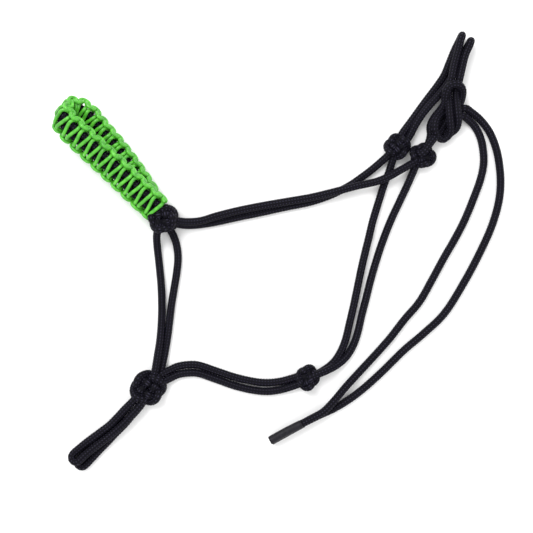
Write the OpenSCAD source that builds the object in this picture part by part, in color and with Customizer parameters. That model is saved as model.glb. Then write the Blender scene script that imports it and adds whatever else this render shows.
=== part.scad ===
// Rope halter for a horse, laid flat on its side.
// One black double-braid rope, knotted, with a green cobra weave over the noseband.
// +X runs from the nose towards the poll, +Y towards the crown, +Z up from the table.
// The origin is under the middle of the halter's box, on the table.

/* [Rope] */
// Diameter of the black rope
rope_d = 6; // [5.6:0.1:6.2]
// Flat sides of each rope's tube
rope_sides = 8; // [8:1:12]
// Diameter of the green weave cord
weave_d = 2.7; // [2:0.1:3]
// Diameter of the sealed sleeve on each tail end
sleeve_d = 6.8; // [6.4:0.1:7.2]

/* [Noseband] */
// Space between the two core ropes
core_gap = 0.3; // [0.2:0.1:0.6]
// Space between a core rope and the weave cord that lies on it
weave_gap = 0.4; // [0.3:0.1:0.8]
// Half the space between the outer and the inner layer of the weave at the edges
split_gap = 0.3; // [0.2:0.1:0.5]

/* [Knots] */
// Radius of the lobes of the nose knots
nose_lobe = 5.9; // [5:0.1:6]
// Radius of the lobes of the fiador knot
fiador_lobe = 8; // [7:0.1:8.2]
// Radius of the lobes of the throat knot
throat_lobe = 6.5; // [6:0.1:7]
// Radius of the lobes of the two top knots
top_lobe = 6.3; // [6:0.1:6.6]
// Radius of the lobes of the sheet bend
bend_lobe = 8; // [7:0.1:8.4]

/* [Colours] */
// Colour of the rope
rope_colour = "#2a2a35";
// Colour of the weave
weave_colour = "#5db841";
// Colour of the sealed ends
sleeve_colour = "#1c1c20";

/* [Hidden] */
rope_r = rope_d / 2;
up = [0, 0, 1];
to_origin = [-2.4, 0.4, 0];  // moves the routes so that the origin is under the middle of the box

// Routes of the rope runs: [x, y, z] of the rope's middle
cheek_near_route = [
    [-83, 24.5, 15], [-74, 23, 10.5], [-62, 23.7, 9.2], [-48.5, 27.7, 9.2], [-31, 32.1, 8.6],
    [-13, 35.7, 8.6], [5.5, 38.9, 8.6], [25.5, 42.3, 8.6], [41, 45.9, 8.8], [53, 49, 9.2],
    [62, 51.4, 9.2], [69.5, 53, 9.2], [78.5, 55.1, 9.4], [88, 59, 9.4], [96.5, 63.8, 9.2],
    [104, 68, 8.4]];
cheek_far_route = [
    [-84, 22.5, 5], [-74, 20.6, 3.3], [-62.5, 21.1, 3], [-49, 23.3, 3], [-31, 27.2, 3], [-13, 30.9, 3],
    [5.5, 35, 3], [25.5, 39.1, 3], [41.5, 44.4, 3], [51, 48.9, 3], [59, 53.4, 3], [66.5, 58.6, 3],
    [74.5, 64.6, 3], [81.5, 70.5, 3.4], [87, 75.5, 4.5]];
chin_near_route = [
    [-94, 19, 14], [-96.3, 12, 8.5], [-96.4, 3, 4.2], [-95.2, -9, 3], [-93.5, -27, 3], [-93, -39, 3],
    [-93, -53.5, 3.6], [-94, -71, 6.2], [-95.9, -84, 7.8], [-98, -97, 9.4]];
chin_far_route = [
    [-87, 19, 5], [-83.5, 12, 3.2], [-81, 4, 3], [-80, -5.5, 3], [-81, -17, 3], [-83, -29.5, 3],
    [-85, -41.5, 3], [-86.5, -53.5, 3], [-88.3, -68, 3], [-91, -84, 3], [-94.1, -97, 4.6]];
fiador_near_route = [
    [-93, -105, 7], [-86, -101.6, 4], [-80, -98.9, 3], [-72, -97.6, 3], [-64, -97.8, 3],
    [-49.5, -102.6, 3], [-31.5, -108.7, 3], [-12, -112.2, 3], [1.5, -111.1, 3], [17, -106, 5]];
fiador_far_route = [
    [-93, -98.3, 6], [-86.5, -95.1, 3.6], [-80, -92.3, 3], [-72, -91, 3], [-64, -91.3, 3],
    [-49.5, -96, 3], [-31.5, -101.8, 3], [-12, -105.3, 3], [1.5, -104.4, 3], [17, -100, 5]];
throat_near_route = [
    [28.5, -99, 9.5], [37.9, -95.2, 9], [46.7, -91.1, 5.2], [54.6, -84.6, 3], [60.1, -75.6, 3],
    [63.7, -65.3, 3], [67, -51, 3], [70.3, -38.5, 3], [73.5, -25.5, 3], [78.2, -9, 3], [83.8, 8, 3],
    [90.5, 25, 3], [97.5, 40, 3], [104.4, 54.7, 3], [109.6, 67.5, 5]];
throat_far_route = [
    [28.5, -99.5, 4], [37.6, -94.6, 3], [44.5, -89, 3], [49.9, -81.1, 3], [53.8, -71.8, 3],
    [57.4, -57, 3], [61, -41.5, 3], [64.3, -25.5, 3], [67.8, -9, 3], [72.6, 10.5, 3], [75.7, 23.5, 3],
    [80.7, 40, 3], [85, 53.5, 3], [88.7, 63, 3], [92, 74, 4.5]];
lead_upper_route = [
    [-115.5, -119.5, 10.2], [-121, -125, 9.6], [-128, -132.5, 9.4], [-133.5, -138, 9.4],
    [-140, -143, 9.4], [-146.3, -147.7, 9], [-152, -152, 8], [-157.5, -156.5, 7], [-162.8, -161.1, 6.6],
    [-163.9, -162.9, 7], [-163.9, -164.9, 7.5], [-163, -166.5, 7.9], [-161.3, -167.5, 8.3],
    [-159.4, -167.5, 8.8], [-157.5, -166.3, 9.2], [-152.5, -161.5, 9.3], [-146.5, -156.5, 9.4],
    [-140, -151.5, 9.4], [-133.5, -146.5, 9.4], [-127.5, -141.5, 9.4], [-121.5, -136, 9.4],
    [-116, -130, 9.6], [-110.5, -124, 10.2]];
lead_lower_route = [
    [-115.5, -119.5, 3.8], [-122, -127, 3], [-128.5, -134.5, 3], [-135.5, -141.5, 3], [-142.5, -149, 3],
    [-148.5, -155.5, 3], [-154.5, -161, 3], [-159, -165.7, 3], [-160.3, -167.8, 3], [-160.3, -169.7, 3],
    [-159.4, -171.4, 3], [-157.7, -172.4, 3], [-155.8, -172.4, 3], [-154.2, -171.4, 3],
    [-148.5, -165.5, 3], [-143, -159.5, 3], [-137.5, -154, 3], [-130.5, -146.5, 3], [-123.5, -139.5, 3],
    [-117, -132, 3], [-110.5, -124.5, 3.8]];
crown_left_route = [
    [99.4, 94, 4], [107.4, 105, 3.4], [118.3, 120, 3], [127, 131.5, 3], [133, 140.5, 3],
    [136.8, 149.6, 3], [141, 160, 3.2], [143.8, 166, 3.9], [145.4, 169.6, 5.6], [146, 171.2, 8.2],
    [145.4, 169.6, 10.8], [143.9, 166, 12.4], [142, 158, 12.8], [139, 147, 12.8], [136.3, 134, 13]];
crown_right_route = [
    [104.6, 91, 4], [109.5, 100.4, 6], [114.2, 107.9, 7.4], [120.3, 115.6, 7.8], [127.1, 123.2, 7.6],
    [134, 131.6, 6.8], [140.5, 142, 5.4], [146.5, 153.5, 3.8], [150.3, 161.5, 4], [152.3, 165.2, 5.6],
    [153, 166.8, 8.2], [152.4, 165.4, 10.8], [150.9, 161.8, 12.2], [147.8, 155, 12.8], [145, 144, 12.4],
    [142.7, 134, 12.6]];
eye_loop_route = [
    [122.3, 85.5, 5], [124.5, 90, 5], [127, 95, 4.7], [129.8, 100, 4.7], [131, 102.1, 5.7],
    [131.5, 103, 8.2], [131, 102.1, 10.7], [129.8, 100, 11.7], [127, 95, 11.6], [124, 91, 11.6],
    [121.5, 86.5, 11.6]];
tail_outer_route = [
    [149, 113.3, 7], [154.3, 110.8, 4.5], [161.5, 105.3, 3], [169.1, 95.3, 3], [174.6, 81.5, 3],
    [177.3, 67, 3], [178, 53.5, 3], [176.5, 39, 3], [171, 20, 3], [161.5, -1.3, 3], [149.3, -24.3, 3],
    [132.8, -50.3, 3], [116.2, -66.3, 3], [101.2, -79, 3], [82.5, -97.3, 3], [68, -110.3, 3],
    [55.3, -119.8, 3], [43.8, -126.5, 3], [32.7, -131.6, 3], [20.5, -137.5, 3.4]];
tail_inner_route = [
    [147.6, 107, 7], [152.3, 104.4, 4.5], [158, 98.8, 3], [162, 90.5, 3], [164, 81, 3],
    [164.5, 70.5, 3], [162.3, 58.5, 3], [156.6, 42.5, 3], [148.7, 23.5, 3], [141.3, 9.3, 3],
    [132.6, -5.8, 3], [122.6, -24.2, 3], [112.9, -41, 3], [101, -55, 3], [89.2, -70.2, 3],
    [77.2, -83.7, 3], [64.2, -97.7, 3.4], [53.5, -108.8, 6], [44.3, -119, 9.4], [35.8, -127.5, 9.8],
    [26, -133, 10], [18.5, -137, 10.3]];
sleeve_outer_route = [[20.5, -137.5, 3.4], [7.5, -144.7, 3.4], [-5.7, -152, 3.4]];
sleeve_inner_route = [[18.5, -137, 10.4], [5.5, -143.6, 10.4], [-6.5, -150.3, 10.4]];

// Middle of the noseband: [x, y, z, tilt of its width above the table, in degrees]
band_route = [
    [-97, 34.5, 19.2, 20], [-105.5, 42, 19.4, 20], [-119, 55, 20, 21], [-132, 67.5, 21, 22],
    [-145, 79.5, 22.4, 24], [-155, 89, 23.6, 26], [-162, 96, 24, 29], [-167, 103, 22.5, 32],
    [-167.6, 108.5, 19, 34], [-165.5, 111.5, 15.5, 34], [-162, 112.5, 12.4, 32], [-157, 111, 10.2, 29],
    [-150.5, 106, 9.6, 26], [-143, 96.5, 9.4, 24], [-133.5, 85.5, 9.2, 22], [-124, 73.5, 9, 21],
    [-114.5, 60.5, 8.8, 20], [-106.5, 48.5, 8.6, 20], [-100.5, 39, 8.6, 20]];
band_heading = 46;  // direction of the noseband's width on the table, in degrees

// Middles of the knots
nose_near_at = [-88, 26.5, 18.6];
nose_far_at = [-89, 26, 6.2];
fiador_at = [-103, -108, 8.2];
throat_at = [23.5, -101.5, 6.7];
top_far_at = [94.5, 83, 6.6];
top_near_at = [113, 75.5, 6.6];

// Vector helpers
function unit(v) = v / norm(v);
function heading(route, i) =
    let (last = len(route) - 1)
    unit(route[min(i + 1, last)] - route[max(i - 1, 0)]);
function across(direction, hint) = unit(hint - (hint * direction) * direction);
function side_of(direction) = unit(cross(direction, up));

// Ring of points round one place on a route
function ring(at, side, top, radius, sides) = [
    for (k = [0 : sides - 1])
        let (turn = 360 * (k + 0.5) / sides)
        at + radius * (cos(turn) * side + sin(turn) * top)];

// Caps of the weave's channel section, cut into convex pieces
section_caps = [[0, 1, 7, 8, 9], [1, 2, 6, 7], [2, 3, 4, 5, 6]];

// Skin over rings that all have the same number of points. A ring that is not convex brings its own caps.
module skin(rings, caps = undef) {
    sides = len(rings[0]);
    last = len(rings) - 1;
    points = [for (r = rings) for (p = r) p + to_origin];
    walls = [
        for (i = [0 : last - 1]) for (k = [0 : sides - 1])
            let (a = i * sides + k, b = i * sides + (k + 1) % sides)
            each [[a, b, b + sides], [a, b + sides, a + sides]]];
    faces = is_undef(caps) ? [[for (k = [0 : sides - 1]) k]] : caps;
    start_caps = [for (face = faces) [for (k = [len(face) - 1 : -1 : 0]) face[k]]];
    end_caps = [for (face = faces) [for (k = face) last * sides + k]];
    polyhedron(points, concat(walls, start_caps, end_caps), convexity = 8);
}

// Round rope along a route. A hint keeps the sides from turning where the rope climbs.
module rope(route, hint = undef, d = rope_d) {
    outer = d / 2 / cos(180 / rope_sides);
    skin([
        for (i = [0 : len(route) - 1])
            let (
                direction = heading(route, i),
                side = is_undef(hint) ? side_of(direction) : across(direction, hint),
                top = cross(side, direction))
            ring(route[i], side, top, outer, rope_sides)]);
}

// Noseband frame at one place of its route: middle, width direction and outer direction
function band_middle() = [for (p = band_route) [p[0], p[1], p[2]]];
function band_width(i, direction) =
    let (tilt = band_route[i][3])
    across(direction, [cos(band_heading) * cos(tilt), sin(band_heading) * cos(tilt), sin(tilt)]);

// One core rope of the noseband, offset across the band
module core_rope(offset_w) {
    middle = band_middle();
    outer = rope_r / cos(180 / rope_sides);
    skin([
        for (i = [0 : len(middle) - 1])
            let (
                direction = heading(middle, i),
                width = band_width(i, direction),
                top = cross(width, direction))
            ring(middle[i] + offset_w * width, width, top, outer, rope_sides)]);
}

// Channel that holds one of the two weave cords, on the outer (+1) or inner (-1) face of the core ropes.
// It covers the face and both edges as far as the middle of the band's thickness.
module weave_layer(face) {
    middle = band_middle();
    core_half = rope_d + core_gap / 2 + weave_gap;
    low = rope_r + weave_gap;
    high = low + weave_d;
    edge = core_half + 1.6 * weave_d;
    section = [
        [-core_half, split_gap], [-core_half, low], [core_half, low], [core_half, split_gap],
        [edge, split_gap], [edge, weave_d], [core_half, high], [-core_half, high], [-edge, weave_d],
        [-edge, split_gap]];
    skin([
        for (i = [1 : len(middle) - 2])
            let (
                direction = heading(middle, i),
                width = band_width(i, direction),
                top = face * cross(width, direction))
            [for (p = section) middle[i] + face * p[0] * width + p[1] * top]], section_caps);
}

// Rounded knot: the skin round four lobes on a cross in the plane of the table
module knot(at, heading_deg, along, wide, lobe) {
    translate(at + to_origin) rotate([0, 0, heading_deg])
        hull()
            for (s = [-1, 1]) {
                translate([s * along, 0, 0]) sphere(lobe, $fn = 16);
                translate([0, s * wide, 0]) sphere(lobe, $fn = 16);
            }
}

// Rope runs of the side loop
module cheek_rope_near() { color(rope_colour) rope(cheek_near_route); }
module cheek_rope_far() { color(rope_colour) rope(cheek_far_route); }
module chin_rope_near() { color(rope_colour) rope(chin_near_route); }
module chin_rope_far() { color(rope_colour) rope(chin_far_route); }
module fiador_rope_near() { color(rope_colour) rope(fiador_near_route); }
module fiador_rope_far() { color(rope_colour) rope(fiador_far_route); }
module throat_rope_near() { color(rope_colour) rope(throat_near_route); }
module throat_rope_far() { color(rope_colour) rope(throat_far_route); }

// Knots of the side loop
module nose_knot_near() { color(rope_colour) knot(nose_near_at, 135, 4.3, 4.3, nose_lobe); }
module nose_knot_far() { color(rope_colour) knot(nose_far_at, 135, 4.3, 4.3, nose_lobe); }
module fiador_knot() { color(rope_colour) knot(fiador_at, 45, 6, 5.5, fiador_lobe); }
module throat_knot() { color(rope_colour) knot(throat_at, 20, 3, 4, throat_lobe); }
module top_knot_near() { color(rope_colour) knot(top_near_at, 20, 4.6, 3, top_lobe); }
module top_knot_far() { color(rope_colour) knot(top_far_at, 60, 4, 3.8, top_lobe); }

// Noseband: two core ropes between the two faces of the cobra weave
module noseband_rope_upper() { color(rope_colour) core_rope((rope_d + core_gap) / 2); }
module noseband_rope_lower() { color(rope_colour) core_rope(-(rope_d + core_gap) / 2); }
module weave_outer_cord() { color(weave_colour) weave_layer(1); }
module weave_inner_cord() { color(weave_colour) weave_layer(-1); }

// Lead loops below the fiador knot
module lead_loop_upper() { color(rope_colour) rope(lead_upper_route); }
module lead_loop_lower() { color(rope_colour) rope(lead_lower_route); }

// Crown: two ropes folded over at the poll, tied to the eye loop with a sheet bend
crown_side = [0.89, -0.46, 0];
module crown_rope_left() { color(rope_colour) rope(crown_left_route, crown_side); }
module crown_rope_right() { color(rope_colour) rope(crown_right_route, crown_side); }
module eye_loop() { color(rope_colour) rope(eye_loop_route, crown_side); }
module sheet_bend() {
    lobes = [[140, 126], [137, 114], [130, 106], [127, 102], [131.5, 96], [137, 103]];
    color(rope_colour)
        hull()
            for (p = lobes)
                translate([p[0], p[1], bend_lobe + 0.5] + to_origin) sphere(bend_lobe, $fn = 16);
}

// Loose tails and their sealed ends
module tail_outer() { color(rope_colour) rope(tail_outer_route); }
module tail_inner() { color(rope_colour) rope(tail_inner_route); }
module tail_outer_end() { color(sleeve_colour) rope(sleeve_outer_route, d = sleeve_d); }
module tail_inner_end() { color(sleeve_colour) rope(sleeve_inner_route, d = sleeve_d); }

cheek_rope_near();
cheek_rope_far();
chin_rope_near();
chin_rope_far();
fiador_rope_near();
fiador_rope_far();
throat_rope_near();
throat_rope_far();
nose_knot_near();
nose_knot_far();
fiador_knot();
throat_knot();
top_knot_near();
top_knot_far();
noseband_rope_upper();
noseband_rope_lower();
weave_outer_cord();
weave_inner_cord();
lead_loop_upper();
lead_loop_lower();
crown_rope_left();
crown_rope_right();
eye_loop();
sheet_bend();
tail_outer();
tail_inner();
tail_outer_end();
tail_inner_end();
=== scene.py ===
# Looks of the rope halter: black braided rope, knots, a green cobra weave and the table it lies on.
# Routes and sizes are in millimetres, in the frame of part.scad before TO_ORIGIN moves it.
# Every rope is a mesh tube whose surface carries the strands of a diamond braid.
import math

import bpy
import numpy as np
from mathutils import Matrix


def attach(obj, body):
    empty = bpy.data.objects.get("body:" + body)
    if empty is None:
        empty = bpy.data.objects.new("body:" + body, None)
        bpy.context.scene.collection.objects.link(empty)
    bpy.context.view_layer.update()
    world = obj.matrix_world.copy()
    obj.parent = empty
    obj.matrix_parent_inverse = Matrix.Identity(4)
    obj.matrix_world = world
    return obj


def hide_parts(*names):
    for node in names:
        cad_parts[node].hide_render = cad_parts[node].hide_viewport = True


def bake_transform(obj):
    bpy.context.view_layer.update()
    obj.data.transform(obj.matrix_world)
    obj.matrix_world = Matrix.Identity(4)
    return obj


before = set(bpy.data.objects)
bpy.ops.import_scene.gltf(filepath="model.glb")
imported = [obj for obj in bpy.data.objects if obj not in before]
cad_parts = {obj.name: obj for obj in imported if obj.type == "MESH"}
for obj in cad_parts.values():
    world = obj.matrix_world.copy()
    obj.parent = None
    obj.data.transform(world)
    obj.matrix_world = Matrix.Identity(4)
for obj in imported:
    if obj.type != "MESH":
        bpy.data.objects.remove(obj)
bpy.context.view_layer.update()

MM = 0.001
TO_ORIGIN = np.array([-2.4, 0.4, 0.0])
UP = np.array([0.0, 0.0, 1.0])

ROPE_R = 3.12        # over the crowns of the braid
TIGHT_KNOT_R = 2.7   # of the rope in the three small knots, where it is pulled tight
SLEEVE_R = 3.4
CORD_R = 1.42        # green weave cord
CORE_OFFSET = 3.15   # of each noseband core rope from the middle of the band
ROPE_STEP = 0.36     # between two rings of points along a rope
SMOOTH_STEP = 0.4    # the same along the weave cord and a sleeve

# ---------------------------------------------------------------- routes
CHEEK_NEAR_ROUTE = [
    (-83, 24.5, 15), (-74, 23, 10.5), (-62, 23.7, 9.2), (-48.5, 27.7, 9.2), (-31, 32.1, 8.6),
    (-13, 35.7, 8.6), (5.5, 38.9, 8.6), (25.5, 42.3, 8.6), (41, 45.9, 8.8), (53, 49, 9.2),
    (62, 51.4, 9.2), (69.5, 53, 9.2), (78.5, 55.1, 9.4), (88, 59, 9.4), (96.5, 63.8, 9.2),
    (104, 68, 8.4),
]
CHEEK_FAR_ROUTE = [
    (-84, 22.5, 5), (-74, 20.6, 3.3), (-62.5, 21.1, 3), (-49, 23.3, 3), (-31, 27.2, 3), (-13, 30.9, 3),
    (5.5, 35, 3), (25.5, 39.1, 3), (41.5, 44.4, 3), (51, 48.9, 3), (59, 53.4, 3), (66.5, 58.6, 3),
    (74.5, 64.6, 3), (81.5, 70.5, 3.4), (87, 75.5, 4.5),
]
CHIN_NEAR_ROUTE = [
    (-94, 19, 14), (-96.3, 12, 8.5), (-96.4, 3, 4.2), (-95.2, -9, 3), (-93.5, -27, 3), (-93, -39, 3),
    (-93, -53.5, 3.6), (-94, -71, 6.2), (-95.9, -84, 7.8), (-98, -97, 9.4),
]
CHIN_FAR_ROUTE = [
    (-87, 19, 5), (-83.5, 12, 3.2), (-81, 4, 3), (-80, -5.5, 3), (-81, -17, 3), (-83, -29.5, 3),
    (-85, -41.5, 3), (-86.5, -53.5, 3), (-88.3, -68, 3), (-91, -84, 3), (-94.1, -97, 4.6),
]
FIADOR_NEAR_ROUTE = [
    (-93, -105, 7), (-86, -101.6, 4), (-80, -98.9, 3), (-72, -97.6, 3), (-64, -97.8, 3),
    (-49.5, -102.6, 3), (-31.5, -108.7, 3), (-12, -112.2, 3), (1.5, -111.1, 3), (17, -106, 5),
]
FIADOR_FAR_ROUTE = [
    (-93, -98.3, 6), (-86.5, -95.1, 3.6), (-80, -92.3, 3), (-72, -91, 3), (-64, -91.3, 3),
    (-49.5, -96, 3), (-31.5, -101.8, 3), (-12, -105.3, 3), (1.5, -104.4, 3), (17, -100, 5),
]
THROAT_NEAR_ROUTE = [
    (28.5, -99, 9.5), (37.9, -95.2, 9), (46.7, -91.1, 5.2), (54.6, -84.6, 3), (60.1, -75.6, 3),
    (63.7, -65.3, 3), (67, -51, 3), (70.3, -38.5, 3), (73.5, -25.5, 3), (78.2, -9, 3), (83.8, 8, 3),
    (90.5, 25, 3), (97.5, 40, 3), (104.4, 54.7, 3), (109.6, 67.5, 5),
]
THROAT_FAR_ROUTE = [
    (28.5, -99.5, 4), (37.6, -94.6, 3), (44.5, -89, 3), (49.9, -81.1, 3), (53.8, -71.8, 3),
    (57.4, -57, 3), (61, -41.5, 3), (64.3, -25.5, 3), (67.8, -9, 3), (72.6, 10.5, 3), (75.7, 23.5, 3),
    (80.7, 40, 3), (85, 53.5, 3), (88.7, 63, 3), (92, 74, 4.5),
]
LEAD_UPPER_ROUTE = [
    (-115.5, -119.5, 10.2), (-121, -125, 9.6), (-128, -132.5, 9.4), (-133.5, -138, 9.4),
    (-140, -143, 9.4), (-146.3, -147.7, 9), (-152, -152, 8), (-157.5, -156.5, 7), (-162.8, -161.1, 6.6),
    (-163.9, -162.9, 7), (-163.9, -164.9, 7.5), (-163, -166.5, 7.9), (-161.3, -167.5, 8.3),
    (-159.4, -167.5, 8.8), (-157.5, -166.3, 9.2), (-152.5, -161.5, 9.3), (-146.5, -156.5, 9.4),
    (-140, -151.5, 9.4), (-133.5, -146.5, 9.4), (-127.5, -141.5, 9.4), (-121.5, -136, 9.4),
    (-116, -130, 9.6), (-110.5, -124, 10.2),
]
LEAD_LOWER_ROUTE = [
    (-115.5, -119.5, 3.8), (-122, -127, 3), (-128.5, -134.5, 3), (-135.5, -141.5, 3), (-142.5, -149, 3),
    (-148.5, -155.5, 3), (-154.5, -161, 3), (-159, -165.7, 3), (-160.3, -167.8, 3), (-160.3, -169.7, 3),
    (-159.4, -171.4, 3), (-157.7, -172.4, 3), (-155.8, -172.4, 3), (-154.2, -171.4, 3),
    (-148.5, -165.5, 3), (-143, -159.5, 3), (-137.5, -154, 3), (-130.5, -146.5, 3), (-123.5, -139.5, 3),
    (-117, -132, 3), (-110.5, -124.5, 3.8),
]
CROWN_LEFT_ROUTE = [
    (99.4, 94, 4), (107.4, 105, 3.4), (118.3, 120, 3), (127, 131.5, 3), (133, 140.5, 3),
    (136.8, 149.6, 3), (141, 160, 3.2), (143.8, 166, 3.9), (145.4, 169.6, 5.6), (146, 171.2, 8.2),
    (145.4, 169.6, 10.8), (143.9, 166, 12.4), (142, 158, 12.8), (139, 147, 12.8), (136.3, 134, 13),
]
CROWN_RIGHT_ROUTE = [
    (104.6, 91, 4), (109.5, 100.4, 6), (114.2, 107.9, 7.4), (120.3, 115.6, 7.8), (127.1, 123.2, 7.6),
    (134, 131.6, 6.8), (140.5, 142, 5.4), (146.5, 153.5, 3.8), (150.3, 161.5, 4), (152.3, 165.2, 5.6),
    (153, 166.8, 8.2), (152.4, 165.4, 10.8), (150.9, 161.8, 12.2), (147.8, 155, 12.8), (145, 144, 12.4),
    (142.7, 134, 12.6),
]
TAIL_OUTER_ROUTE = [
    (149, 113.3, 7), (154.3, 110.8, 4.5), (161.5, 105.3, 3), (169.1, 95.3, 3), (174.6, 81.5, 3),
    (177.3, 67, 3), (178, 53.5, 3), (176.5, 39, 3), (171, 20, 3), (161.5, -1.3, 3), (149.3, -24.3, 3),
    (132.8, -50.3, 3), (116.2, -66.3, 3), (101.2, -79, 3), (82.5, -97.3, 3), (68, -110.3, 3),
    (55.3, -119.8, 3), (43.8, -126.5, 3), (32.7, -131.6, 3), (20.5, -137.5, 3.4),
]
TAIL_INNER_ROUTE = [
    (147.6, 107, 7), (152.3, 104.4, 4.5), (158, 98.8, 3), (162, 90.5, 3), (164, 81, 3),
    (164.5, 70.5, 3), (162.3, 58.5, 3), (156.6, 42.5, 3), (148.7, 23.5, 3), (141.3, 9.3, 3),
    (132.6, -5.8, 3), (122.6, -24.2, 3), (112.9, -41, 3), (101, -55, 3), (89.2, -70.2, 3),
    (77.2, -83.7, 3), (64.2, -97.7, 3.4), (53.5, -108.8, 6), (44.3, -119, 9.4), (35.8, -127.5, 9.8),
    (26, -133, 10), (18.5, -137, 10.3),
]
SLEEVE_OUTER_ROUTE = [(20.5, -137.5, 3.4), (7.5, -144.7, 3.4), (-5.7, -152, 3.4)]
SLEEVE_INNER_ROUTE = [(18.5, -137, 10.4), (5.5, -143.6, 10.4), (-6.5, -150.3, 10.4)]

# Middle of the noseband from the near knot round the fold to the far knot: x, y, z, tilt in degrees
BAND_ROUTE = [
    (-90.5, 28.5, 18.8, 20), (-97, 34.5, 19.2, 20), (-105.5, 42, 19.4, 20), (-119, 55, 20, 21),
    (-132, 67.5, 21, 22), (-145, 79.5, 22.4, 24), (-155, 89, 23.6, 26), (-162, 96, 24, 29),
    (-167, 103, 22.5, 32), (-167.6, 108.5, 19, 34), (-165.5, 111.5, 15.5, 34),
    (-162, 112.5, 12.4, 32), (-157, 111, 10.2, 29), (-150.5, 106, 9.6, 26), (-143, 96.5, 9.4, 24),
    (-133.5, 85.5, 9.2, 22), (-124, 73.5, 9, 21), (-114.5, 60.5, 8.8, 20), (-106.5, 48.5, 8.6, 20),
    (-100.5, 39, 8.6, 20), (-94, 31.5, 8.2, 20),
]
BAND_HEADING = math.radians(46)   # direction of the band's width on the table

# Sheet bend: the eye loop with its collar over the crown ropes, and the way each crown rope tucks in
BEND_EYE_ROUTE = [
    (117, 80, 5), (120, 86, 5), (121.6, 92.5, 5.2), (121.3, 99.4, 5.6), (124.2, 106, 6.4),
    (128.8, 111.6, 8), (131.6, 116.5, 10.5), (131.6, 121, 13), (132, 125.6, 15.4),
    (134.2, 129.2, 16.8), (138, 130.6, 17.2), (142.2, 130, 16), (145.2, 127.2, 13.2),
    (146, 123, 9.4), (144.6, 117, 6.4), (139.5, 109.5, 4.5), (134, 102.5, 4), (129, 95.5, 6),
    (124.5, 90.5, 10), (120.5, 85.5, 12.2), (115.5, 78.5, 12.6), (112, 75.5, 11),
]
BEND_LEFT_ROUTE = [
    (135.2, 129.4, 10.6), (134.7, 123, 9.8), (134.8, 116, 12), (135, 109, 13.6), (135.6, 103, 13.2),
    (136.4, 97, 11), (135.6, 92, 7.5), (131.5, 89, 6), (126.5, 91, 9), (123.6, 96, 12.4),
    (124.5, 102.5, 12), (129, 108, 8.5), (136.5, 111, 6), (143.5, 112.5, 6),
]
BEND_RIGHT_ROUTE = [
    (141.4, 129.4, 10.4), (141, 123, 9.6), (141.1, 115, 12), (141.6, 108, 12.8), (142.4, 102, 10.8),
    (141.6, 97.5, 6.5), (138.3, 94.6, 4.2), (133.4, 94.3, 3.6), (128.5, 97.2, 4), (128, 102.5, 4.4),
    (133, 105.5, 4), (140, 106.5, 4), (145.5, 107, 5.5),
]


# ---------------------------------------------------------------- curves and frames
POINTS_PER_SPAN = 32   # of the fine curve between two route points


def unit(vector):
    return vector / np.linalg.norm(vector, axis=-1, keepdims=True)


def arc_length(line):
    """Length along the line at each of its points."""
    gaps = np.linalg.norm(np.diff(line[:, :3], axis=0), axis=1)
    return np.concatenate([[0.0], np.cumsum(gaps)])


def even(line, step):
    """The same line with its points a fixed step apart."""
    arc = arc_length(line)
    count = max(2, int(round(arc[-1] / step)) + 1)
    at = np.linspace(0.0, arc[-1], count)
    return np.column_stack([np.interp(at, arc, column) for column in line.T])


def smooth_line(points, step):
    """Evenly spaced points on the centripetal Catmull-Rom curve through the given points."""
    p = np.asarray(points, dtype=float)
    p = np.vstack([2 * p[0] - p[1], p, 2 * p[-1] - p[-2]])
    gaps = np.linalg.norm(np.diff(p[:, :3], axis=0), axis=1)
    knot = np.concatenate([[0.0], np.cumsum(np.sqrt(gaps))])
    parts = []
    for i in range(1, len(p) - 2):
        t0, t1, t2, t3 = knot[i - 1:i + 3]
        t = np.linspace(t1, t2, POINTS_PER_SPAN, endpoint=False)[:, None]
        a1 = ((t1 - t) * p[i - 1] + (t - t0) * p[i]) / (t1 - t0)
        a2 = ((t2 - t) * p[i] + (t - t1) * p[i + 1]) / (t2 - t1)
        a3 = ((t3 - t) * p[i + 1] + (t - t2) * p[i + 2]) / (t3 - t2)
        b1 = ((t2 - t) * a1 + (t - t0) * a2) / (t2 - t0)
        b2 = ((t3 - t) * a2 + (t - t1) * a3) / (t3 - t1)
        parts.append(((t2 - t) * b1 + (t - t1) * b2) / (t2 - t1))
    fine = np.vstack(parts + [p[-2][None]])
    return even(fine, step)


def metres(line):
    """Places in the part's own frame, in metres."""
    return (np.asarray(line, dtype=float) + TO_ORIGIN) * MM


def frames_along(line):
    """Side and top directions at each point, carried along the line without twist."""
    heading = unit(np.gradient(line, axis=0))
    side = np.zeros_like(line)
    first = np.cross(heading[0], UP)
    if np.linalg.norm(first) < 0.1:
        first = np.array([1.0, 0.0, 0.0])
    side[0] = unit(first)
    for i in range(1, len(line)):
        moved = side[i - 1] - np.dot(side[i - 1], heading[i]) * heading[i]
        side[i] = moved / np.linalg.norm(moved)
    return side, np.cross(side, heading)


# ---------------------------------------------------------------- braid and meshes
BRAID_STRANDS = 8        # strands in each direction
BRAID_PITCH = 2.4        # of one crossing along the rope
BRAID_DEPTH = 0.62       # from a crown to a groove
STRAND_ROUND = 0.55      # share of the height that is a strand's own round profile
STRAND_WAVE = 0.22       # share that is its way over and under the others
SECOND_SET_SHADE = 0.8    # painted shade: share of the tone kept by the strands that lean the other way, against the first set
ROPE_SIDES = 56


def strand_profile(across):
    """Round profile of a strand, 1 in its middle and 0 at its edges."""
    return np.sqrt(np.clip(1.0 - (2.0 * across) ** 2, 0.0, 1.0))


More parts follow.
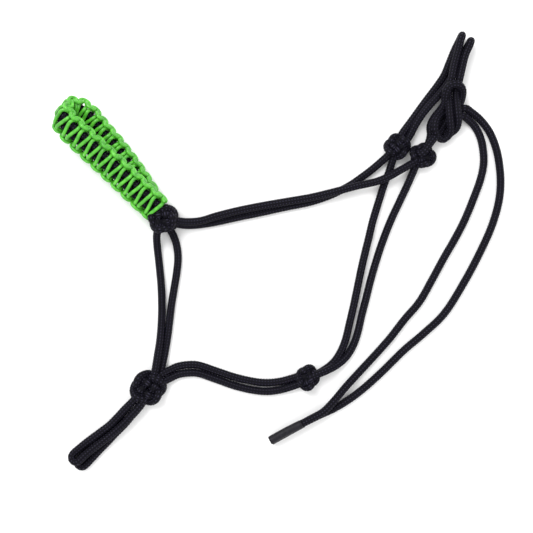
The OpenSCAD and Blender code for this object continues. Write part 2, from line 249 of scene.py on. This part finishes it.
def braid_height(turn, along):
    """Height and tone, from 0 to 1, of a diamond braid; the tone is painted shade, darker in the grooves
    and on the second set of strands. turn goes once round the rope, along is in mm.
    """
    a = turn * BRAID_STRANDS + along / BRAID_PITCH
    b = turn * BRAID_STRANDS - along / BRAID_PITCH
    over_a = np.sin(math.pi * b) * np.where(np.floor(a) % 2 == 0, 1.0, -1.0)
    over_b = np.sin(math.pi * a) * np.where(np.floor(b) % 2 == 0, -1.0, 1.0)
    height_a = STRAND_ROUND * strand_profile(a - np.floor(a) - 0.5) + STRAND_WAVE * over_a
    height_b = STRAND_ROUND * strand_profile(b - np.floor(b) - 0.5) + STRAND_WAVE * over_b
    height = np.clip(np.maximum(height_a, height_b) / (STRAND_ROUND + STRAND_WAVE), 0.0, 1.0)
    # Painted shade: the tone is darker where the braid is low and on the strands of the second set.
    tone = height * np.where(height_a > height_b, 1.0, SECOND_SET_SHADE)
    return height, tone


def tube_mesh(name, line, radii, tones, material):
    """Closed tube with flat caps: rings of points round the line, UVs round and along, and a tone."""
    side, top = frames_along(line)
    rings, sides = radii.shape
    turn = np.arange(sides) / sides * 2.0 * math.pi
    out = np.cos(turn)[None, :, None] * side[:, None, :] + np.sin(turn)[None, :, None] * top[:, None, :]
    points = metres(line[:, None, :] + radii[:, :, None] * out)
    i = np.arange(rings - 1)[:, None]
    k = np.arange(sides)[None, :]
    after = (k + 1) % sides
    quads = np.stack([
        i * sides + k, i * sides + after, (i + 1) * sides + after, (i + 1) * sides + k], axis=-1)
    faces = quads.reshape(-1, 4).tolist()
    faces.append(list(range(sides - 1, -1, -1)))
    faces.append(list(range((rings - 1) * sides, rings * sides)))
    mesh = bpy.data.meshes.new(name)
    mesh.from_pydata(points.reshape(-1, 3).tolist(), [], faces)
    mesh.polygons.foreach_set("use_smooth", [True] * (len(faces) - 2) + [False] * 2)
    tone = mesh.attributes.new("tone", "FLOAT", "POINT")
    tone.data.foreach_set("value", tones.reshape(-1))
    arc = arc_length(line)
    around = np.stack([k, k + 1, k + 1, k], axis=-1) / sides
    ahead = np.stack([arc[:-1], arc[:-1], arc[1:], arc[1:]], axis=-1)[:, None, :]
    uv = np.zeros((len(mesh.loops), 2))
    uv[:quads.size, 0] = np.broadcast_to(around, quads.shape).reshape(-1)
    uv[:quads.size, 1] = np.broadcast_to(ahead, quads.shape).reshape(-1)
    layer = mesh.uv_layers.new(name="lay")
    layer.data.foreach_set("uv", uv.reshape(-1))
    mesh.validate()
    mesh.materials.append(material)
    piece = bpy.data.objects.new(name, mesh)
    bpy.context.scene.collection.objects.link(piece)
    return piece


def rope_tube(name, line, radius=ROPE_R):
    """Braided rope along a line that is already evenly spaced."""
    turn = np.broadcast_to(np.arange(ROPE_SIDES) / ROPE_SIDES, (len(line), ROPE_SIDES))
    along = arc_length(line)[:, None]
    height, tone = braid_height(turn, along)
    radii = radius - BRAID_DEPTH * (1.0 - height)
    return tube_mesh(name, line, radii, tone, rope_material)


# ---------------------------------------------------------------- materials
def new_material(name, colour, roughness):
    """A plain material, with its nodes, links and shader for what is added to it."""
    material = bpy.data.materials.new(name)
    material.use_nodes = True
    nodes = material.node_tree.nodes
    shader = nodes["Principled BSDF"]
    shader.inputs["Base Color"].default_value = (*colour, 1.0)
    shader.inputs["Roughness"].default_value = roughness
    return material, nodes, material.node_tree.links, shader


def colour_ramp(nodes, stops):
    """Colour ramp with a stop for each position and colour given."""
    ramp = nodes.new("ShaderNodeValToRGB")
    while len(ramp.color_ramp.elements) < len(stops):
        ramp.color_ramp.elements.new(0.5)
    for element, (position, colour) in zip(ramp.color_ramp.elements, stops):
        element.position = position
        element.color = (*colour, 1.0)
    return ramp


def add_bump(nodes, links, shader, height_socket, strength, distance_mm):
    """Raise and sink the shader's surface by what the socket says."""
    bump = nodes.new("ShaderNodeBump")
    bump.inputs["Strength"].default_value = strength
    bump.inputs["Distance"].default_value = distance_mm * MM
    links.new(height_socket, bump.inputs["Height"])
    links.new(bump.outputs["Normal"], shader.inputs["Normal"])


def noise(nodes, links, scale, detail=3.0, stretch=None):
    """Noise in object space, or in the tube's UVs when a stretch is given."""
    texture = nodes.new("ShaderNodeTexNoise")
    texture.inputs["Scale"].default_value = scale
    texture.inputs["Detail"].default_value = detail
    place = nodes.new("ShaderNodeTexCoord")
    if stretch is None:
        links.new(place.outputs["Object"], texture.inputs["Vector"])
        return texture
    mapping = nodes.new("ShaderNodeMapping")
    mapping.inputs["Scale"].default_value = stretch
    links.new(place.outputs["UV"], mapping.inputs["Vector"])
    links.new(mapping.outputs["Vector"], texture.inputs["Vector"])
    return texture


def make_rope_material():
    """Black polyester braid: blue-black, with painted shade in the grooves and a painted highlight on the
    crowns, fine filaments.
    """
    material, nodes, links, shader = new_material("black_braid", (0.02, 0.02, 0.03), 0.55)
    shader.inputs["Specular IOR Level"].default_value = 0.07
    tone = nodes.new("ShaderNodeAttribute")
    tone.attribute_name = "tone"
    # Painted shade and highlight by the braid's height: near black in the grooves, lighter blue-black on
    # the crowns.
    ramp = colour_ramp(nodes, [
        (0.35, (0.0006, 0.0005, 0.001)), (0.75, (0.0046, 0.0042, 0.0078)),
        (1.0, (0.042, 0.038, 0.066))])
    links.new(tone.outputs["Fac"], ramp.inputs["Fac"])
    fade = noise(nodes, links, 90.0, 4.0)
    mix = nodes.new("ShaderNodeMix")
    mix.data_type = "RGBA"
    mix.blend_type = "MULTIPLY"
    mix.inputs["Factor"].default_value = 0.45
    links.new(ramp.outputs["Color"], mix.inputs["A"])
    links.new(fade.outputs["Fac"], mix.inputs["B"])
    links.new(mix.outputs["Result"], shader.inputs["Base Color"])
    filaments = noise(nodes, links, 3.0, 2.0, (30.0, 2.2, 1.0))
    add_bump(nodes, links, shader, filaments.outputs["Fac"], 0.5, 0.12)
    return material


def make_weave_material():
    """Bright green satin cord with fine filaments that twist along it."""
    material, nodes, links, shader = new_material("green_satin", (0.1, 0.46, 0.04), 0.34)
    shader.inputs["Specular IOR Level"].default_value = 0.5
    shader.inputs["Sheen Weight"].default_value = 0.05
    shader.inputs["Sheen Roughness"].default_value = 0.35
    tone = noise(nodes, links, 260.0, 3.0)
    ramp = colour_ramp(nodes, [
        (0.3, (0.04, 0.27, 0.015)), (0.55, (0.08, 0.42, 0.026)), (0.8, (0.13, 0.54, 0.045))])
    links.new(tone.outputs["Fac"], ramp.inputs["Fac"])
    links.new(ramp.outputs["Color"], shader.inputs["Base Color"])
    filaments = noise(nodes, links, 3.0, 2.0, (14.0, 0.9, 1.0))
    add_bump(nodes, links, shader, filaments.outputs["Fac"], 0.35, 0.08)
    return material


def make_sleeve_material():
    """Smooth black heat-shrunk sleeve with faint rings and scuffs."""
    material, nodes, links, shader = new_material("black_sleeve", (0.008, 0.008, 0.011), 0.5)
    shader.inputs["Specular IOR Level"].default_value = 0.18
    scuffs = noise(nodes, links, 700.0, 5.0)
    ramp = colour_ramp(nodes, [(0.3, (0.004, 0.004, 0.006)), (0.75, (0.014, 0.013, 0.019))])
    links.new(scuffs.outputs["Fac"], ramp.inputs["Fac"])
    links.new(ramp.outputs["Color"], shader.inputs["Base Color"])
    add_bump(nodes, links, shader, scuffs.outputs["Fac"], 0.3, 0.08)
    return material


rope_material = make_rope_material()
weave_material = make_weave_material()
sleeve_material = make_sleeve_material()


# ---------------------------------------------------------------- camera
ROPE_MIDDLE = 0.003   # height in metres of the middle of a rope that lies on the table
CAMERA_ABOVE = 0.7    # metres over that
VIEW_WIDTH = 0.4264   # metres that the camera sees at that height
VIEW_CENTRE = (-0.0116, -0.012)
SENSOR_MM = 36.0


def make_camera():
    """Straight down on the halter."""
    data = bpy.data.cameras.new("camera")
    data.sensor_width = SENSOR_MM
    data.lens = SENSOR_MM * CAMERA_ABOVE / VIEW_WIDTH
    data.clip_start = 0.01
    camera = bpy.data.objects.new("camera", data)
    camera.location = (*VIEW_CENTRE, ROPE_MIDDLE + CAMERA_ABOVE)
    bpy.context.scene.collection.objects.link(camera)
    bpy.context.scene.camera = camera


make_camera()


# ---------------------------------------------------------------- ropes
PATH_THINNING = 6   # rings of the tube to one point of the thinned path


def declare_rope(line):
    """Thins the line to a path in metres, one point to PATH_THINNING rings and the last point; nothing is
    done with the path.
    """
    path = metres(line)[::PATH_THINNING]
    path = np.vstack([path, metres(line)[-1]])


def rope_run(name, route, body, stands_for=None):
    """One run of rope. It rides one body when one is named; otherwise it stays where it is drawn, with no
    body.
    """
    line = smooth_line(route, ROPE_STEP)
    piece = rope_tube(name + "_braid", line)
    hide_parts(*(stands_for or [name]))
    declare_rope(line)
    if isinstance(body, str):
        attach(piece, body)
    else:
        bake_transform(piece)


# Side loop. Each run goes on into the knot at each of its ends.
for name, start, route, end in [
        ("cheek_rope_near", (-88, 27, 17), CHEEK_NEAR_ROUTE, (111, 72, 7)),
        ("cheek_rope_far", (-88, 25, 6), CHEEK_FAR_ROUTE, (92, 81, 6)),
        ("chin_rope_near", (-91, 25, 17), CHIN_NEAR_ROUTE, (-101, -104, 8)),
        ("chin_rope_far", (-88, 25, 6), CHIN_FAR_ROUTE, (-97, -105, 8)),
        ("fiador_rope_near", (-100, -109, 8), FIADOR_NEAR_ROUTE, (23, -103.5, 6)),
        ("fiador_rope_far", (-100, -104, 8), FIADOR_FAR_ROUTE, (23, -99, 6)),
        ("throat_rope_near", (22, -101.5, 8), THROAT_NEAR_ROUTE, (112, 73.5, 6)),
        ("throat_rope_far", (22, -101.5, 5), THROAT_FAR_ROUTE, (94, 80, 6))]:
    rope_run(name, [start] + route + [end], "side_loop")

# Lead loops, which swing about the bottom of the fiador knot
rope_run("lead_loop_upper", [(-107, -111, 9)] + LEAD_UPPER_ROUTE + [(-104, -115, 9)], "lead_loops")
rope_run("lead_loop_lower", [(-107, -111, 6)] + LEAD_LOWER_ROUTE + [(-104, -115, 6)], "lead_loops")

# Crown: each rope leaves a top knot, folds over and comes down into the bend
CROWN_TURN = ("side_loop", "crown", (96, 84, 6), (108, 104, 6))
rope_run("crown_rope_left", [(95, 86, 5)] + CROWN_LEFT_ROUTE + BEND_LEFT_ROUTE, CROWN_TURN)
rope_run("crown_rope_right", [(99, 83, 5)] + CROWN_RIGHT_ROUTE + BEND_RIGHT_ROUTE, CROWN_TURN)

# Eye loop, which makes the collar of the bend and goes back into its top knot
EYE_TURN = ("side_loop", "crown", (116, 79, 8), (123, 93, 8))
rope_run("eye_loop", BEND_EYE_ROUTE, EYE_TURN, stands_for=["eye_loop", "sheet_bend"])

# Tails.
TAIL_TURN = ("crown", "tails", (145, 112, 6), (155, 105, 6))
rope_run("tail_outer", [(143.5, 112.5, 6)] + TAIL_OUTER_ROUTE, TAIL_TURN)
rope_run("tail_inner", [(142, 107, 6)] + TAIL_INNER_ROUTE, TAIL_TURN)


# ---------------------------------------------------------------- sealed ends
SLEEVE_SIDES = 48
MOUTH_ROLL = 0.32      # how far the mouth turns in
MOUTH_LENGTH = 1.6
CUT_ROUND = 0.45       # how far the cut edge turns in
CUT_LENGTH = 0.8
RING_HEIGHT = 0.05
RING_RATES = (2.1, 0.37)   # of the two waves that make the rings uneven, in radians to a millimetre


def sleeve(name, route):
    """Heat-shrunk sleeve with a rolled mouth, faint shrink rings and a flat cut end."""
    line = smooth_line(route, SMOOTH_STEP)
    arc = arc_length(line)
    mouth = MOUTH_ROLL * np.clip(1.0 - arc / MOUTH_LENGTH, 0.0, 1.0) ** 2
    cut = CUT_ROUND * np.clip(1.0 - (arc[-1] - arc) / CUT_LENGTH, 0.0, 1.0) ** 2
    rings = RING_HEIGHT * np.sin(arc * RING_RATES[0]) * np.sin(arc * RING_RATES[1])
    radii = np.repeat((SLEEVE_R - mouth - cut + rings)[:, None], SLEEVE_SIDES, axis=1)
    piece = tube_mesh(name + "_sleeve", line, radii, np.ones_like(radii), sleeve_material)
    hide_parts(name)
    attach(piece, "tails")


sleeve("tail_outer_end", SLEEVE_OUTER_ROUTE)
sleeve("tail_inner_end", SLEEVE_INNER_ROUTE)


# ---------------------------------------------------------------- knots
BALL_TURNS = 3      # times that the strand of a knot goes round
BALL_LOBES = 4
BALL_POINTS = 900


def woven_ball(at, heading, wide, long, half_height, inner):
    """Line of one strand that goes round in lobes and crosses over and under itself. inner is how near
    to the middle it comes, against the outside of its lobes."""
    t = np.linspace(0.0, 2.0 * math.pi, BALL_POINTS)
    reach = 1.0 - (1.0 - inner) * (0.5 - 0.5 * np.cos(BALL_LOBES * t))
    turned = math.radians(heading)
    x = long * reach * np.cos(BALL_TURNS * t)
    y = wide * reach * np.sin(BALL_TURNS * t)
    line = np.column_stack([
        at[0] + x * math.cos(turned) - y * math.sin(turned),
        at[1] + x * math.sin(turned) + y * math.cos(turned),
        at[2] + half_height * np.sin(2 * BALL_LOBES * t)])
    return even(line, ROPE_STEP)


def knot(name, radius, at, heading, wide, long, half_height, inner):
    line = woven_ball(at, heading, wide, long, half_height, inner)
    piece = rope_tube(name + "_wraps", line, radius)
    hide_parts(name)
    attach(piece, "side_loop")


# Name, rope radius, middle, heading in degrees, half width, half length, half height, inner reach
for facts in [
        ("nose_knot_near", ROPE_R, (-90.7, 25, 18.2), -34, 9.2, 8.6, 2.9, 0.34),
        ("nose_knot_far", ROPE_R, (-89.8, 25.6, 6.3), -34, 8.8, 8.4, 2.9, 0.34),
        ("fiador_knot", ROPE_R, (-103.2, -108.8, 8.3), 14, 11.2, 12, 3.6, 0.3),
        ("throat_knot", TIGHT_KNOT_R, (23.5, -100.8, 6.8), -12, 8.2, 7.2, 3.1, 0.25),
        ("top_knot_far", TIGHT_KNOT_R, (94.8, 83, 6.7), 6, 8.2, 8.4, 3.1, 0.25),
        ("top_knot_near", TIGHT_KNOT_R, (115, 75.8, 6.7), -26, 7.8, 8.6, 3.1, 0.25)]:
    knot(*facts)


# ---------------------------------------------------------------- noseband
BAND_STEP = 0.25
CHANGE_START = 0.46    # where the far half ends, in shares of the band's length from the far knot
CHANGE_LENGTH = 0.16   # share of the band over which the far half's pitch and drift fade out
FAR_DRIFT = -1.1       # of the far half, across the band


def band_frames():
    """Places along the band from the far knot to the near knot, with its width and outer directions."""
    line = smooth_line(BAND_ROUTE, BAND_STEP)
    tilt = np.radians(line[:, 3])
    line = line[:, :3]
    heading = unit(np.gradient(line, axis=0))
    hint = np.column_stack([
        math.cos(BAND_HEADING) * np.cos(tilt), math.sin(BAND_HEADING) * np.cos(tilt), np.sin(tilt)])
    width = unit(hint - np.sum(hint * heading, axis=1)[:, None] * heading)
    outer = np.cross(width, heading)
    return line[::-1], width[::-1], outer[::-1]


band_line, band_width, band_outer = band_frames()
band_arc = arc_length(band_line)
BAND_LENGTH = band_arc[-1]


def near_share(along):
    """0 on the far half of the band, 1 on the near half, with a smooth change round the fold."""
    return np.clip((along / BAND_LENGTH - CHANGE_START) / CHANGE_LENGTH, 0.0, 1.0)


def at_places(along, table):
    """Rows of a table of places or directions at the lengths given along the band."""
    return np.column_stack([np.interp(along, band_arc, column) for column in table.T])


def on_band(along, across, out):
    """Points for places along, across and out from the middle of the band."""
    across = across + FAR_DRIFT * (1.0 - near_share(along))
    middle = at_places(along, band_line)
    sideways = across[:, None] * at_places(along, band_width)
    outward = out[:, None] * at_places(along, band_outer)
    return middle + sideways + outward


def core(name, offset):
    """One of the two ropes that run along inside the weave."""
    along = np.linspace(0.0, BAND_LENGTH, int(BAND_LENGTH / ROPE_STEP))
    line = on_band(along, np.full_like(along, offset), np.zeros_like(along))
    piece = rope_tube(name + "_braid", even(line, ROPE_STEP))
    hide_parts(name)
    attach(piece, "noseband")


core("noseband_rope_upper", CORE_OFFSET)
core("noseband_rope_lower", -CORE_OFFSET)


# ---------------------------------------------------------------- cobra weave
# Each cord crosses the cores on its own face and hooks round the other cord at each edge.
NEAR_PITCH = 10.8    # along the band, between two hooks on one edge, on the near half
FAR_PITCH = 9.2      # the same on the far half
LEFT_SHIFT = 0.5     # of a left hook after a right hook, in pitches
BAR_SHIFT = 0.25     # of the middle of a bar after the hook before it, in pitches
BAR_OUT = 4.45       # of that middle from the middle of the band, over the cores
END_SHIFT = 3.5      # of the last outer hook from the near end of the band
WEAVE_MARGIN = 4.0   # between the ends of the band and of the weave
CORD_SIDES = 16
CORD_RIDGES = 6      # twisted filaments that show as ridges
RIDGE_HEIGHT = 0.06
RIDGE_TWIST = 5.0    # along the cord, for one ridge to take the place of the next

# One half of a hook, from the shoulder to its middle on the edge: along, across and out, in mm
HOOK = [
    (1.8, 5.2, 4.4), (1.7, 6.8, 3.6), (1.9, 7.9, 1.6), (2.8, 8.3, -0.2),
    (3.8, 9.0, -0.8), (4.1, 9.9, 0.3), (2.6, 10.1, 2.2), (0.0, 10.0, 3.2)]


def hook_places(last):
    """Middles of the right hooks, with the local pitch, counted back from the near knot."""
    places = []
    at = last
    while at > 0.0:
        pitch = FAR_PITCH + (NEAR_PITCH - FAR_PITCH) * float(near_share(at))
        places.append((at, pitch))
        at -= pitch
    return places[::-1]


def weave_cord(name, face, last):
    """One cord of the weave. face is 1 for the outer face and -1 for the inner one."""
    controls = []
    for at, pitch in hook_places(last):
        squeeze = pitch / NEAR_PITCH
        for centre, edge in [(at, 1.0), (at + LEFT_SHIFT * pitch, -1.0)]:
            for ahead, across, out in HOOK:
                controls.append((centre - ahead * squeeze, edge * across, face * out))
            for ahead, across, out in HOOK[-2::-1]:
                controls.append((centre + ahead * squeeze, edge * across, face * out))
            controls.append((centre + BAR_SHIFT * pitch, 0.0, face * BAR_OUT))
    flat = smooth_line(controls, SMOOTH_STEP)
    flat = flat[(flat[:, 0] > WEAVE_MARGIN) & (flat[:, 0] < BAND_LENGTH - WEAVE_MARGIN)]
    line = even(on_band(flat[:, 0], flat[:, 1], flat[:, 2]), SMOOTH_STEP)
    arc = arc_length(line)[:, None]
    turn = np.arange(CORD_SIDES)[None, :] / CORD_SIDES
    ridge = 0.5 + 0.5 * np.cos(2.0 * math.pi * (CORD_RIDGES * turn + arc / RIDGE_TWIST))
    radii = CORD_R - RIDGE_HEIGHT * (1.0 - ridge)
    piece = tube_mesh(name + "_satin", line, radii, ridge, weave_material)
    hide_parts(name)
    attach(piece, "noseband")


LAST_HOOK = BAND_LENGTH - END_SHIFT
weave_cord("weave_outer_cord", 1.0, LAST_HOOK)
weave_cord("weave_inner_cord", -1.0, LAST_HOOK + NEAR_PITCH / 2.0)


# ---------------------------------------------------------------- table and light
def make_table():
    """Plain white table top."""
    reach = 2.5
    corners = [(-reach, -reach, 0.0), (reach, -reach, 0.0), (reach, reach, 0.0), (-reach, reach, 0.0)]
    mesh = bpy.data.meshes.new("table_top")
    mesh.from_pydata(corners, [], [(0, 1, 2, 3)])
    table = bpy.data.objects.new("table_top", mesh)
    bpy.context.scene.collection.objects.link(table)
    material, _, _, _ = new_material("white_table", (0.93, 0.93, 0.93), 0.8)
    mesh.materials.append(material)


def area_light(name, place, size, power):
    """Square light that points at the middle of the halter."""
    data = bpy.data.lights.new(name, "AREA")
    data.shape = "SQUARE"
    data.size = size
    data.energy = power
    light = bpy.data.objects.new(name, data)
    light.location = place
    x, y, z = place
    light.rotation_euler = (math.atan2(math.hypot(x, y), z), 0.0, math.atan2(-y, -x) - math.pi / 2)
    bpy.context.scene.collection.objects.link(light)


def make_world():
    """Even white light from all round."""
    world = bpy.data.worlds.new("studio")
    world.use_nodes = True
    background = world.node_tree.nodes["Background"]
    background.inputs["Color"].default_value = (1.0, 1.0, 1.0, 1.0)
    background.inputs["Strength"].default_value = 1.1
    bpy.context.scene.world = world


make_table()
make_world()
area_light("key", (-0.5, 0.7, 1.3), 0.7, 15.0)
area_light("fill", (0.9, -0.6, 1.1), 1.2, 4.0)
bpy.context.scene.view_settings.view_transform = "Standard"
